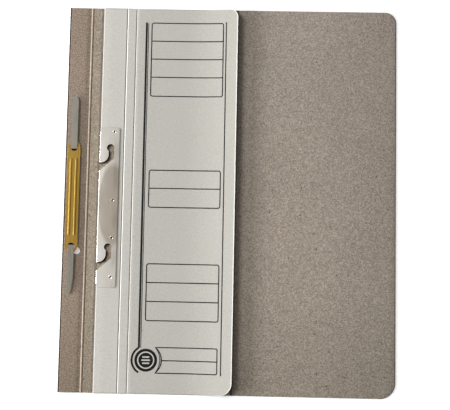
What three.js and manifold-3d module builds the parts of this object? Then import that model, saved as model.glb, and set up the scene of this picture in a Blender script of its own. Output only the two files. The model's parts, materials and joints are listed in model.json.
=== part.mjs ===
// Half-cover card folder with a steel hook plate and a two-prong fastener, lying open at its tab.
// Millimetres. +X runs from the fastener tab to the back cover's free edge, +Y towards the folder's
// top edge, +Z up from the table. The model's origin is under the middle of the folder.
// Inside this file, X is counted from the tab's free edge and Y from the folder's mid height.

import * as THREE from 'three';
import { mergeVertices } from 'three/addons/utils/BufferGeometryUtils.js';
import Module from 'manifold-3d';

const wasm = await Module();
wasm.setup();

// Card sheets
const folderHeight = 310;
const backCoverEdge = 266;          // the tab's free edge to the back cover's free edge
const cardThickness = 0.5;
const backCornerTopRadius = 9;
const backCornerBottomRadius = 12.5;
const layerGap = 0.02;              // air left between two layers that lie on each other

// Fastener tab
const tabCreaseX = 18.2;
const tabCreaseHeight = 0.3;
const tabCreaseHalfWidth = 0.9;
const tabRampLength = 3.5;          // from the raised tab down to the table
const tabHoleRadius = 2.75;
const tabHolePitch = 78;            // each hole sits a little inside the bar's hole
const lowerHoleShiftX = 4.4;        // the lower hole is drawn out towards the folder
const lowerHoleShiftY = 4.3;

// Front cover
const frontEdgeX = 27.94;           // edge held in the hook plate's hem
const hingeCreaseX = 47.1;
const spineStripWidth = 7.75;
const coverPanelWidth = 82.4;
const coverCornerTopRadius = 6;
const coverCornerBottomRadius = 9.5;
const creaseDepth = 0.25;
const creaseHalfWidth = 0.6;
const creaseGap = 0.04;             // parting line between the strips of one creased sheet
const glueStripWidth = 1.2;         // flat against the back sheet beside the first crease
const spineRise = 0.5;
const coverEndInset = 0.5;          // the half cover is cut this much shorter at each end
const coverRestWidth = 42;          // from the second crease to where the cover touches the back
const coverEdgeLift = 3.5;          // the free edge curls up this far
const coverRestGap = 0.05;

// Hook plate
const plateThickness = 0.3;
const plateLeftX = 27.35;
const plateWidth = 16.55;
const plateAboveHook = 16.2;        // the plate's top end over the upper hook's round
const plateBelowHook = 32.1;
const plateCornerRadius = 2;
const hemWidth = 6;
const hemClearance = 0.25;          // from the hem's edge to where the card starts to come down
const hemEndNotch = 2.8;            // the hem stops short of both ends of the plate
const hemNotchDepth = 0.95;
const pipRadius = 1.45;
const pipShoulderRadius = 1.2;
const pipCrownRadius = 0.95;
const pipPierceRadius = 0.75;
const pipHeight = 0.45;
const pipShoulderHeight = 0.27;
const pipPierceHeight = 0.05;       // the bottom of the dented middle, over the plate
const pipInset = 11.9;              // from the plate's folded edge
const pipHeights = [53.2, -2.3, -32.3, -63.7];

// Hook slots, each drawn about the centre of its round
const hookPitch = 80;
const hookInset = 9.1;              // from the plate's folded edge
const hookRoundRadius = 2.95;
const hookNeckWidth = 4.45;
const hookNeckLength = 8.8;
const tongueRadius = 6.5;
const tongueCentreY = -5.6;
const mouthLowY = -19.3;            // where the slanted side meets the plate's folded edge
const slotOverrun = 3;              // the cut runs this far past the folded edge

// Prong fastener
const fastenerPitch = 80;
const fastenerX = 7;
const prongWidth = 5;
const prongThickness = 0.3;
const prongBendRadius = 0.2;
const prongInset = 1.3;             // the upright part stands this far inside the bar's hole
const upperProngReach = 42;         // from the hole's centre to the tip
const lowerProngReach = 37.3;
const upperProngTaper = 4;
const lowerProngTaper = 13;
const upperTipRadius = 1.8;
const lowerTipRadius = 1.6;
const lowerTipShift = -0.8;         // the lower prong tapers on its inner side only

// Compressor bar
const barWidth = 10;
const barOverhang = 5;              // from each hole's centre to the bar's end
const barHeight = 1;
const barWall = 0.35;
const barEdgeRounding = 0.25;
const barHoleRadius = 3;
const ribLength = 62;
const ribWidth = 1.7;
const ribHeight = 0.42;
const ribOffset = 2.2;

// Straight facets to each curve
const roundSegments = 16;
const barSegments = 14;
const cornerSegments = 10;
const hemSegments = 8;
const smallSegments = 6;
const bendSegments = 4;
const edgeSegments = 3;
const coverSteps = 20;

// Heights of the stacked layers, all undersides
const tabZ = prongThickness + layerGap;
const hemLeafZ = cardThickness + layerGap;
const frontStripZ = hemLeafZ + plateThickness + layerGap;
const frontLeafZ = frontStripZ + cardThickness + layerGap;
const plateTopZ = frontLeafZ + plateThickness;
const glueZ = cardThickness + layerGap;
const barZ = tabZ + cardThickness + layerGap;
const prongZ = barZ + barHeight + layerGap;
const cutHeight = 10 * (plateTopZ + coverEdgeLift);   // cutters reach this far above and below

const halfHeight = folderHeight / 2;
const plateRightX = plateLeftX + plateWidth;
const plateTopY = hookPitch / 2 + plateAboveHook;
const plateBottomY = -hookPitch / 2 - plateBelowHook;
const secondCreaseX = hingeCreaseX + spineStripWidth;
const coverEdgeX = secondCreaseX + coverPanelWidth;

// Turns a closed three.js geometry into a solid that can be joined and cut
function solidOf(geometry) {
  geometry.deleteAttribute('normal');
  geometry.deleteAttribute('uv');
  const merged = mergeVertices(geometry, 1e-5);
  const mesh = new wasm.Mesh({
    numProp: 3,
    vertProperties: new Float32Array(merged.attributes.position.array),
    triVerts: new Uint32Array(merged.index.array),
  });
  return new wasm.Manifold(mesh);
}

function geometryOf(solid) {
  const { vertProperties, triVerts } = solid.getMesh();
  const geometry = new THREE.BufferGeometry();
  geometry.setAttribute('position', new THREE.BufferAttribute(vertProperties, 3));
  geometry.setIndex(new THREE.BufferAttribute(triVerts, 1));
  geometry.computeVertexNormals();
  return geometry;
}

// A flat shape seen from above, thickened upwards
function plateSolid(shape, zLow, zHigh, arcSegments = cornerSegments) {
  const geometry = new THREE.ExtrudeGeometry(shape, {
    depth: zHigh - zLow,
    bevelEnabled: false,
    curveSegments: arcSegments,
  });
  geometry.translate(0, 0, zLow);
  return solidOf(geometry);
}

// A section of points [x, z], drawn out along Y
function sectionSolid(section, yLow, yHigh) {
  const shape = new THREE.Shape(section.map(([x, z]) => new THREE.Vector2(x, z)));
  const geometry = new THREE.ExtrudeGeometry(shape, { depth: yHigh - yLow, bevelEnabled: false });
  geometry.rotateX(Math.PI / 2);
  geometry.translate(0, yHigh, 0);
  return solidOf(geometry);
}

// A sheet's section from the points of its underside, left to right
function sheetSection(underside, thickness) {
  const upper = underside.map(([x, z]) => [x, z + thickness]);
  return [...underside, ...upper.reverse()];
}

function arcPoints(centreX, centreY, radius, startDegrees, endDegrees, steps) {
  const points = [];
  for (let i = 0; i <= steps; i += 1) {
    const angle = THREE.MathUtils.degToRad(THREE.MathUtils.lerp(startDegrees, endDegrees, i / steps));
    points.push([centreX + radius * Math.cos(angle), centreY + radius * Math.sin(angle)]);
  }
  return points;
}

// A rectangle with a rounding of its own at each right-hand corner and each left-hand corner
function roundedOutline(left, right, bottom, top, lowRight, topRight, leftRadius) {
  const shape = new THREE.Shape();
  shape.moveTo(left + leftRadius, bottom);
  shape.lineTo(right - lowRight, bottom);
  shape.absarc(right - lowRight, bottom + lowRight, lowRight, -Math.PI / 2, 0, false);
  shape.lineTo(right, top - topRight);
  shape.absarc(right - topRight, top - topRight, topRight, 0, Math.PI / 2, false);
  shape.lineTo(left + leftRadius, top);
  if (leftRadius > 0) {
    shape.absarc(left + leftRadius, top - leftRadius, leftRadius, Math.PI / 2, Math.PI, false);
    shape.absarc(left + leftRadius, bottom + leftRadius, leftRadius, Math.PI, Math.PI * 1.5, false);
  } else {
    shape.lineTo(left, bottom);
  }
  return shape;
}

// Two round ends joined by straight sides, along Y
function stadiumOutline(centreX, halfLength, radius) {
  const shape = new THREE.Shape();
  const endY = halfLength - radius;
  shape.absarc(centreX, endY, radius, 0, Math.PI, false);
  shape.absarc(centreX, -endY, radius, Math.PI, Math.PI * 2, false);
  return shape;
}

function circleSolid(x, y, radius) {
  const shape = new THREE.Shape();
  shape.absarc(x, y, radius, 0, Math.PI * 2, false);
  return plateSolid(shape, -cutHeight, cutHeight, roundSegments);
}

// Tab, hidden glue strip and back cover: one sheet with its brown side up
function backCoverGeometry() {
  const rampEnd = tabCreaseX - tabCreaseHalfWidth;
  const underside = [
    [0, tabZ],
    [rampEnd - tabRampLength, tabZ],
    [rampEnd, 0],
    [tabCreaseX, tabCreaseHeight],
    [tabCreaseX + tabCreaseHalfWidth, 0],
    [backCoverEdge, 0],
  ];
  const sheet = sectionSolid(sheetSection(underside, cardThickness), -halfHeight, halfHeight);
  const outline = roundedOutline(
    0, backCoverEdge, -halfHeight, halfHeight, backCornerBottomRadius, backCornerTopRadius, 0,
  );
  const spineGrooves = [hingeCreaseX, secondCreaseX].map((x) => sectionSolid([
    [x, cardThickness - creaseDepth / 2],
    [x + creaseHalfWidth, cardThickness + creaseDepth / 2],
    [x - creaseHalfWidth, cardThickness + creaseDepth / 2],
  ], -halfHeight - 1, halfHeight + 1));
  const upperHole = circleSolid(fastenerX, tabHolePitch / 2, tabHoleRadius);
  return geometryOf(sheet
    .intersect(plateSolid(outline, -cutHeight, cutHeight))
    .subtract(spineGrooves[0])
    .subtract(spineGrooves[1])
    .subtract(upperHole)
    .subtract(drawnOutHole()));
}

// The lower tab hole: two equal rounds and the straight sides between them
function drawnOutHole() {
  const slant = Math.atan2(-lowerHoleShiftY, lowerHoleShiftX);
  const shape = new THREE.Shape();
  const y = -tabHolePitch / 2;
  const farX = fastenerX + lowerHoleShiftX;
  const farY = y - lowerHoleShiftY;
  shape.absarc(farX, farY, tabHoleRadius, slant - Math.PI / 2, slant + Math.PI / 2, false);
  shape.absarc(fastenerX, y, tabHoleRadius, slant + Math.PI / 2, slant + Math.PI * 1.5, false);
  return plateSolid(shape, -cutHeight, cutHeight, roundSegments);
}

// One hook slot: round, neck and the slanted way out through the folded edge
function hookSlot(centreY) {
  const x = plateLeftX + hookInset;
  const right = hookRoundRadius;
  const neckLeft = right - hookNeckWidth;
  const tongueX = neckLeft - tongueRadius;
  const tongueY = centreY + tongueCentreY;
  const slope = (mouthLowY + hookNeckLength) / (-hookInset - right);
  const outside = -hookInset - slotOverrun;
  const mouthLow = mouthLowY - slope * slotOverrun;
  const roundEnd = Math.PI + Math.acos(-neckLeft / hookRoundRadius);
  const shape = new THREE.Shape();
  shape.moveTo(x + right, centreY - hookNeckLength);
  shape.lineTo(x + right, centreY);
  shape.absarc(x, centreY, hookRoundRadius, 0, roundEnd, false);
  shape.absarc(x + tongueX, tongueY, tongueRadius, 0, -Math.PI / 2, true);
  shape.lineTo(x + outside, tongueY - tongueRadius);
  shape.lineTo(x + outside, centreY + mouthLow);
  return plateSolid(shape, cardThickness + layerGap / 2, cutHeight, roundSegments);
}

function cutHookSlots(solid) {
  return solid
    .subtract(hookSlot(hookPitch / 2))
    .subtract(hookSlot(-hookPitch / 2));
}

// The strip of the front sheet that the hook plate grips and that is glued to the back sheet
function frontStripGeometry() {
  const rampStart = plateLeftX + hemWidth + hemClearance;
  const rampEnd = hingeCreaseX - glueStripWidth;
  const end = hingeCreaseX - creaseGap / 2;
  const section = [
    [frontEdgeX, frontStripZ],
    [rampStart, frontStripZ],
    [rampEnd, glueZ],
    [end, glueZ],
    [end, glueZ + cardThickness - creaseDepth],
    [hingeCreaseX - creaseHalfWidth, glueZ + cardThickness],
    [rampEnd, glueZ + cardThickness],
    [rampStart, frontStripZ + cardThickness],
    [frontEdgeX, frontStripZ + cardThickness],
  ];
  return geometryOf(cutHookSlots(sectionSolid(section, -halfHeight, halfHeight)));
}

// The narrow strip between the two creases: the folder's spine
function spineStripGeometry() {
  const start = hingeCreaseX + creaseGap / 2;
  const end = secondCreaseX - creaseGap / 2;
  const rise = (x) => glueZ + spineRise * (x - hingeCreaseX) / spineStripWidth;
  const grooveStart = hingeCreaseX + creaseHalfWidth;
  const grooveEnd = secondCreaseX - creaseHalfWidth;
  const section = [
    [start, rise(start)],
    [end, rise(end)],
    [end, rise(end) + cardThickness - creaseDepth],
    [grooveEnd, rise(grooveEnd) + cardThickness],
    [grooveStart, rise(grooveStart) + cardThickness],
    [start, rise(start) + cardThickness - creaseDepth],
  ];
  return geometryOf(sectionSolid(section, -halfHeight, halfHeight));
}

// The printed half cover: sags to touch the back cover, then curls up to its free edge
function coverPanelGeometry() {
  const start = secondCreaseX + creaseGap / 2;
  const restX = secondCreaseX + coverRestWidth;
  const restZ = cardThickness + coverRestGap;
  const startZ = glueZ + spineRise;
  const height = (x) => {
    if (x < restX) {
      return restZ + (startZ - restZ) * ((restX - x) / coverRestWidth) ** 2;
    }
    return restZ + coverEdgeLift * ((x - restX) / (coverEdgeX - restX)) ** 2;
  };
  const underside = [];
  for (let i = 0; i <= coverSteps; i += 1) {
    const x = THREE.MathUtils.lerp(secondCreaseX + creaseHalfWidth, coverEdgeX, i / coverSteps);
    underside.push([x, height(x)]);
  }
  const section = [
    [start, height(start)],
    ...sheetSection(underside, cardThickness),
    [start, height(start) + cardThickness - creaseDepth],
  ];
  const endY = halfHeight - coverEndInset;
  const outline = roundedOutline(
    secondCreaseX, coverEdgeX, -endY, endY, coverCornerBottomRadius, coverCornerTopRadius, 0,
  );
  return geometryOf(sectionSolid(section, -halfHeight, halfHeight)
    .intersect(plateSolid(outline, -cutHeight, cutHeight)));
}

// A round pip that is pressed up, with a dent in the middle
function pipSolid(x, y) {
  const profile = [
    [0, -plateThickness / 2],
    [pipRadius, -plateThickness / 2],
    [pipRadius, 0],
    [pipShoulderRadius, pipShoulderHeight],
    [pipCrownRadius, pipHeight],
    [pipPierceRadius, pipHeight],
    [0, pipPierceHeight],
  ];
  const points = profile.map(([r, h]) => new THREE.Vector2(r, h));
  const geometry = new THREE.LatheGeometry(points, roundSegments);
  geometry.rotateX(Math.PI / 2);
  geometry.translate(x, y, plateTopZ);
  return solidOf(geometry);
}

// Steel plate with a flat front leaf and a hem folded round the edge of the card
function hookPlateGeometry() {
  const hemRadius = (plateTopZ - hemLeafZ) / 2;
  const hemCentreX = plateLeftX + hemRadius;
  const hemCentreZ = hemLeafZ + hemRadius;
  const hemSection = [
    ...arcPoints(hemCentreX, hemCentreZ, hemRadius, 270, 90, hemSegments),
    [plateRightX - plateCornerRadius, plateTopZ],
    [plateRightX - plateCornerRadius, frontLeafZ],
    ...arcPoints(hemCentreX, hemCentreZ, hemRadius - plateThickness, 90, 270, smallSegments),
    [plateLeftX + hemWidth, hemLeafZ + plateThickness],
    [plateLeftX + hemWidth, hemLeafZ],
  ];
  const leafOutline = roundedOutline(
    plateLeftX + hemNotchDepth, plateRightX, plateBottomY, plateTopY,
    plateCornerRadius, plateCornerRadius, plateCornerRadius / 2,
  );
  let plate = plateSolid(leafOutline, frontLeafZ, plateTopZ, smallSegments)
    .add(sectionSolid(hemSection, plateBottomY + hemEndNotch, plateTopY - hemEndNotch));
  for (const y of pipHeights) {
    plate = plate.add(pipSolid(plateLeftX + pipInset, y));
  }
  return geometryOf(cutHookSlots(plate));
}

// Half of the prong strip's side view, as a closed outline from mid length out to one tip
function prongSideView(tipY) {
  const uprightY = fastenerPitch / 2 - prongInset;
  const outerY = uprightY + prongThickness / 2;
  const outerRadius = prongBendRadius + prongThickness;
  const bendY = outerY + prongBendRadius;
  const bendZ = prongZ - prongBendRadius;
  return [
    [0, 0],
    ...arcPoints(outerY - outerRadius, outerRadius, outerRadius, -90, 0, bendSegments),
    ...arcPoints(bendY, bendZ, prongBendRadius, 180, 90, bendSegments),
    [tipY, prongZ],
    [tipY, prongZ + prongThickness],
    ...arcPoints(bendY, bendZ, outerRadius, 90, 180, bendSegments),
    ...arcPoints(outerY - outerRadius, outerRadius, prongBendRadius, 0, -90, bendSegments),
    [0, prongThickness],
  ];
}

// Tin strip: its base lies under the tab, its two prongs come up and are bent outwards
function prongStripGeometry() {
  const topTip = fastenerPitch / 2 + upperProngReach;
  const bottomTip = -fastenerPitch / 2 - lowerProngReach;
  const upper = prongSideView(topTip);
  const lower = prongSideView(-bottomTip).map(([y, z]) => [-y, z]);
  const sideView = [...upper, ...lower.reverse().slice(1, -1)];
  const shape = new THREE.Shape(sideView.map(([y, z]) => new THREE.Vector2(y, z)));
  const geometry = new THREE.ExtrudeGeometry(shape, { depth: prongWidth, bevelEnabled: false });
  geometry.rotateX(Math.PI / 2);
  geometry.rotateZ(Math.PI / 2);
  geometry.translate(fastenerX - prongWidth / 2, 0, 0);
  const half = prongWidth / 2;
  const outline = new THREE.Shape();
  outline.moveTo(fastenerX + half, bottomTip + lowerProngTaper);
  outline.lineTo(fastenerX + half, topTip - upperProngTaper);
  outline.absarc(fastenerX, topTip - upperTipRadius, upperTipRadius, 0, Math.PI, false);
  outline.lineTo(fastenerX - half, topTip - upperProngTaper);
  outline.lineTo(fastenerX - half, bottomTip + lowerProngTaper);
  outline.absarc(
    fastenerX + lowerTipShift, bottomTip + lowerTipRadius, lowerTipRadius, Math.PI, Math.PI * 2, false,
  );
  return geometryOf(solidOf(geometry).intersect(plateSolid(outline, -cutHeight, cutHeight)));
}

// Pressed sheet bar, hollow underneath, with two stiffening ribs and a hole for each prong
function compressorBarGeometry() {
  const halfLength = fastenerPitch / 2 + barOverhang;
  const radius = barWidth / 2;
  const shell = new THREE.ExtrudeGeometry(
    stadiumOutline(fastenerX, halfLength - barEdgeRounding, radius - barEdgeRounding),
    {
      depth: barHeight,
      bevelThickness: barEdgeRounding,
      bevelSize: barEdgeRounding,
      bevelSegments: edgeSegments,
      curveSegments: barSegments,
    },
  );
  shell.translate(0, 0, barZ - barEdgeRounding);
  const belowBar = plateSolid(stadiumOutline(fastenerX, halfLength + 1, radius + 1), 0, barZ);
  const hollow = plateSolid(
    stadiumOutline(fastenerX, halfLength - barWall, radius - barWall),
    0, barZ + barHeight - barWall, barSegments,
  );
  const topTrim = plateSolid(
    stadiumOutline(fastenerX, halfLength + 1, radius + 1), barZ + barHeight, cutHeight,
  );
  let bar = solidOf(shell).subtract(belowBar).subtract(topTrim);
  for (const side of [-1, 1]) {
    const rib = new THREE.ExtrudeGeometry(
      stadiumOutline(fastenerX + side * ribOffset, ribLength / 2 - ribHeight, ribWidth / 2 - ribHeight),
      {
        depth: barWall / 2,
        bevelThickness: ribHeight,
        bevelSize: ribHeight,
        bevelSegments: edgeSegments,
        curveSegments: smallSegments,
      },
    );
    rib.translate(0, 0, barZ + barHeight - barWall / 2);
    bar = bar.add(solidOf(rib));
    bar = bar.subtract(circleSolid(fastenerX, side * fastenerPitch / 2, barHoleRadius));
  }
  return geometryOf(bar.subtract(hollow));
}

// Finishes
const brownCard = new THREE.MeshStandardMaterial({ color: 0x9b9082, roughness: 0.92, metalness: 0 });
const whiteCard = new THREE.MeshStandardMaterial({ color: 0xc4c1ba, roughness: 0.85, metalness: 0 });
const steelPlate = new THREE.MeshStandardMaterial({ color: 0xb9b4aa, roughness: 0.3, metalness: 1 });
const tinProng = new THREE.MeshStandardMaterial({ color: 0x95928a, roughness: 0.4, metalness: 1 });
const brassBar = new THREE.MeshStandardMaterial({ color: 0xc2a052, roughness: 0.3, metalness: 1 });

const folder = new THREE.Group();
const pieces = [
  ['back_cover', backCoverGeometry(), brownCard],
  ['front_cover_strip', frontStripGeometry(), whiteCard],
  ['front_spine_strip', spineStripGeometry(), whiteCard],
  ['front_cover_panel', coverPanelGeometry(), whiteCard],
  ['hook_plate', hookPlateGeometry(), steelPlate],
  ['prong_strip', prongStripGeometry(), tinProng],
  ['compressor_bar', compressorBarGeometry(), brassBar],
];
for (const [name, geometry, material] of pieces) {
  const mesh = new THREE.Mesh(geometry, material);
  mesh.name = name;
  folder.add(mesh);
}
folder.position.x = -backCoverEdge / 2;

const model = new THREE.Group();
model.add(folder);

export default model;
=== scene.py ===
import json
import math
import bpy
import bmesh
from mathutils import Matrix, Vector


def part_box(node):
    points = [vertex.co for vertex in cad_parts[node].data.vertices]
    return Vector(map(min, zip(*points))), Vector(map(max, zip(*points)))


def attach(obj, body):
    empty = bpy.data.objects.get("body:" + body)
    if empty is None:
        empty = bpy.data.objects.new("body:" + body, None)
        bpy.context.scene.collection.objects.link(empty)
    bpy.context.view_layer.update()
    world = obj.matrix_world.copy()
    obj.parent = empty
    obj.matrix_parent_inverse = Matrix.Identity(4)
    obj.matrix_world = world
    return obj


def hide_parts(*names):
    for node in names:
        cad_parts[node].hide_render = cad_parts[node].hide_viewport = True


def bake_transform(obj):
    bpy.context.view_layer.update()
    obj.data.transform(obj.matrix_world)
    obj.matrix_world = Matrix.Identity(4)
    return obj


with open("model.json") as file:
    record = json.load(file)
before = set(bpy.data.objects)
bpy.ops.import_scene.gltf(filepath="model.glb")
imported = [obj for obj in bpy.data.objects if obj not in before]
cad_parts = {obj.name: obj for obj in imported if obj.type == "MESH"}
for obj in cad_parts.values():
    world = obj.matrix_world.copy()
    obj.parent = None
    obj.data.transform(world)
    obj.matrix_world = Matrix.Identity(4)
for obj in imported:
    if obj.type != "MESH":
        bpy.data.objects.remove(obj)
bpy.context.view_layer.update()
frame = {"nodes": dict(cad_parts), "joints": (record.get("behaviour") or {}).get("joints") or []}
mm = 0.001

# where the folder's own lines are, read from the frame
backLow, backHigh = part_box("back_cover")
stripLow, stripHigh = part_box("front_cover_strip")
panelLow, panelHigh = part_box("front_cover_panel")
plateLow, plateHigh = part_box("hook_plate")
jointPlace = {joint["name"]: Vector(joint["pos_m"]) for joint in frame["joints"]}
creaseX = jointPlace["cover_hinge"].x
secondCreaseX = jointPlace["spine_hinge"].x
spineMiddleX = (creaseX + secondCreaseX) / 2
tabX = backLow.x   # free edge of the fastener tab
cardThickness = 0.5 * mm
layerGap = 0.02 * mm
glueZ = cardThickness + layerGap
cutReach = 8 * mm   # cutters end this far above or below the table, well clear of the folder


def linearFromHex(text):
    channels = [int(text[i:i + 2], 16) / 255 for i in (1, 3, 5)]
    linear = [c / 12.92 if c <= 0.04045 else ((c + 0.055) / 1.055) ** 2.4 for c in channels]
    return (*linear, 1.0)


def smoothStep(value, low, high):
    t = min(max((value - low) / (high - low), 0.0), 1.0)
    return t * t * (3 - 2 * t)


def newMaterial(name):
    material = bpy.data.materials.new(name)
    material.use_nodes = True
    return material, material.node_tree, material.node_tree.nodes["Principled BSDF"]


def addNode(tree, kind, settings=None, inputs=None, links=None):
    node = tree.nodes.new(kind)
    for key, value in (settings or {}).items():
        setattr(node, key, value)
    for key, value in (inputs or {}).items():
        node.inputs[key].default_value = value
    for key, source in (links or {}).items():
        tree.links.new(source, node.inputs[key])
    return node


def addRamp(tree, source, stops):
    ramp = addNode(tree, "ShaderNodeValToRGB", links={"Fac": source})
    elements = ramp.color_ramp.elements
    while len(elements) > len(stops):
        elements.remove(elements[-1])
    while len(elements) < len(stops):
        elements.new(1.0)
    for element, (position, colour) in zip(elements, stops):
        element.position = position
        element.color = colour
    return ramp


def grey(value):
    return (value, value, value, 1.0)


def noise(tree, place, size, detail, roughness=0.5):
    # size is that of the largest lumps, in mm
    inputs = {"Scale": 1 / (size * mm), "Detail": detail, "Roughness": roughness}
    return addNode(tree, "ShaderNodeTexNoise", inputs=inputs, links={"Vector": place})


def cells(tree, place, size):
    return addNode(tree, "ShaderNodeTexVoronoi", inputs={"Scale": 1 / (size * mm)}, links={"Vector": place})


def mixed(tree, base, over, factor, blend="MIX"):
    # over is laid on base; each of the three is a socket or a plain value
    given = {"A": base, "B": over, "Factor": factor}
    links = {key: part for key, part in given.items() if isinstance(part, bpy.types.NodeSocket)}
    inputs = {key: part for key, part in given.items() if key not in links}
    settings = {"data_type": "RGBA", "blend_type": blend}
    return addNode(tree, "ShaderNodeMix", settings, inputs, links).outputs["Result"]


def recycledCard(name, look, toneAndShadeRamps=None):
    # recycled board, calendered: matt, mottled, flecked with short paler and darker fibres
    material, tree, shader = newMaterial(name)
    place = addNode(tree, "ShaderNodeTexCoord").outputs["Object"]
    cloud = noise(tree, place, look["cloudSize"], 3.0, 0.6)
    fleck = noise(tree, place, look["fleckSize"], 4.0, 0.8)
    fibre = cells(tree, place, look["fibreSize"])
    speck = cells(tree, place, look["speckSpacing"])
    base = addRamp(tree, fleck.outputs["Fac"], [
        (0.32, linearFromHex(look["dark"])),
        (0.50, linearFromHex(look["middle"])),
        (0.68, linearFromHex(look["pale"]))])
    colour = mixed(tree, base.outputs["Color"], cloud.outputs["Fac"], look["cloudShare"], "OVERLAY")
    fibreMask = addRamp(tree, fibre.outputs["Distance"], [(0.0, grey(look["fibreShare"])), (0.32, grey(0.0))])
    colour = mixed(tree, colour, linearFromHex(look["fibre"]), fibreMask.outputs["Color"])
    speckMask = addRamp(tree, speck.outputs["Distance"], [
        (0.0, grey(look["speckShare"])), (look["speckRadius"], grey(look["speckShare"])),
        (look["speckRadius"] * 1.5, grey(0.0))])
    colour = mixed(tree, colour, linearFromHex(look["speck"]), speckMask.outputs["Color"])
    # tints multiplied along X or Y: painted shade, and on the back board also a darker tab
    if toneAndShadeRamps:
        axes = addNode(tree, "ShaderNodeSeparateXYZ", links={"Vector": place})
        for axis, (start, length), stops in toneAndShadeRamps:
            share = addNode(tree, "ShaderNodeMath", settings={"operation": "MULTIPLY_ADD"},
                            inputs={1: 1 / length, 2: -start / length}, links={0: axes.outputs[axis]})
            tint = addRamp(tree, share.outputs["Value"], [(at, linearFromHex(hue)) for at, hue in stops])
            colour = mixed(tree, colour, tint.outputs["Color"], 1.0, "MULTIPLY")
    tree.links.new(colour, shader.inputs["Base Color"])
    shader.inputs["Roughness"].default_value = look["roughness"]
    shader.inputs["IOR"].default_value = 1.46
    shader.inputs["Specular IOR Level"].default_value = 0.2
    bump = addNode(tree, "ShaderNodeBump", inputs={
        "Strength": look["bumpStrength"], "Distance": look["bumpDepth"] * mm},
        links={"Height": fleck.outputs["Fac"]})
    tree.links.new(bump.outputs["Normal"], shader.inputs["Normal"])
    return material


# flecks are drawn a little coarser than real pulp, so that they show at arm's length
brownLook = {
    "dark": "#6c6054", "middle": "#9d9285", "pale": "#c9bfb2",
    "fibre": "#cdc4b8", "fibreShare": 0.35, "fibreSize": 1.6,
    "speck": "#51463c", "speckShare": 0.8, "speckSpacing": 10.0, "speckRadius": 0.05,
    "cloudSize": 60.0, "cloudShare": 0.12, "fleckSize": 0.95,
    "roughness": 0.93, "bumpStrength": 0.35, "bumpDepth": 0.05,
}

whiteLook = {
    "dark": "#bdbab3", "middle": "#c9c6bf", "pale": "#d5d2cc",
    "fibre": "#d8d5cf", "fibreShare": 0.25, "fibreSize": 2.0,
    "speck": "#67635b", "speckShare": 0.6, "speckSpacing": 17.0, "speckRadius": 0.024,
    "cloudSize": 70.0, "cloudShare": 0.05, "fleckSize": 0.95,
    "roughness": 0.85, "bumpStrength": 0.15, "bumpDepth": 0.03,
}

edgeLook = dict(whiteLook, dark="#aea89d", middle="#bdb7ac", pale="#ccc7bd", fleckSize=0.6, cloudShare=0.0)
# the die crushes and darkens a narrow border of the brown board, which also stands as painted shade on the
# shaded flank of the tab's bead; the pale border is a painted highlight
plainBorder = {"fibreShare": 0.1, "cloudShare": 0.0}
brownRimAndShadeLook = dict(brownLook, dark="#3f352d", middle="#51463c", pale="#665a4e", **plainBorder)
# painted highlight on the lit flank of the tab's bead
ridgeHighlightLook = dict(brownLook, dark="#a3917e", middle="#c8b5a1", pale="#e0d1bf", **plainBorder)
# painted shade: near black, laid in the hook slots where the plate's shadow falls; also a near-black border
# on the tab's free edge
shadeAndDarkEdgeLook = dict(brownLook, dark="#0f0c0a", middle="#17130f", pale="#211c17", **plainBorder)
# painted shade left of the tab's bead and along the front sheet's raised left edge
shadedFoldLook = dict(brownLook, dark="#5a5045", middle="#7c7266", pale="#9b9185", **plainBorder)
# painted highlight: a bright border on the front sheet's cut edges and on the lit flank of each groove
highlightRimLook = dict(whiteLook, dark="#ebe9e4", middle="#f5f3ef", pale="#fbfaf7", **plainBorder)
# painted shade on the shaded flank of each groove in the front sheet
grooveShadeLook = dict(whiteLook, dark="#86837c", middle="#94918a", pale="#a29f98", **plainBorder)
greyRimLook = dict(whiteLook, dark="#98958e", middle="#a7a49d", pale="#b5b2ab", **plainBorder)


# painted shade on the brown board: a dark line where the half cover's edge casts its shadow, a paler grey
# band beyond it, and darker towards the right and bottom edges; the tab and the strip beside it are drawn a
# little darker
backToneAndPaintedShade = [
    ("X", (backLow.x, backHigh.x - backLow.x), [
        (0.0, "#e6dcd6"), (0.064, "#e8dfd8"), (0.074, "#f7f4ec"), (0.15, "#fbf8f2"),
        (0.3, "#ffffff"), (0.5085, "#ffffff"), (0.5125, "#6e6e6e"), (0.5172, "#6e6e6e"),
        (0.5205, "#ececec"), (0.528, "#f4f4f4"), (0.585, "#f4f4f4"), (0.62, "#ffffff"),
        (0.75, "#ffffff"), (1.0, "#ececee")]),
    ("Y", (backLow.y, backHigh.y - backLow.y), [(0.0, "#ebebea"), (0.25, "#ffffff"), (1.0, "#fdfdff")]),
]
# painted shade on the printed side: the spine strip and the panel are drawn darker than the strip beside the
# plate, and darker again near the free edge
coverPaintedShade = [
    ("X", (stripLow.x, panelHigh.x - stripLow.x), [
        (0.0, "#ffffff"), (0.172, "#ffffff"), (0.182, "#e9e9e9"), (0.24, "#e9e9e9"),
        (0.25, "#f0f0f0"), (0.88, "#f0f0ef"), (0.95, "#eaeae8"), (1.0, "#eaeae8")]),
]


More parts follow.
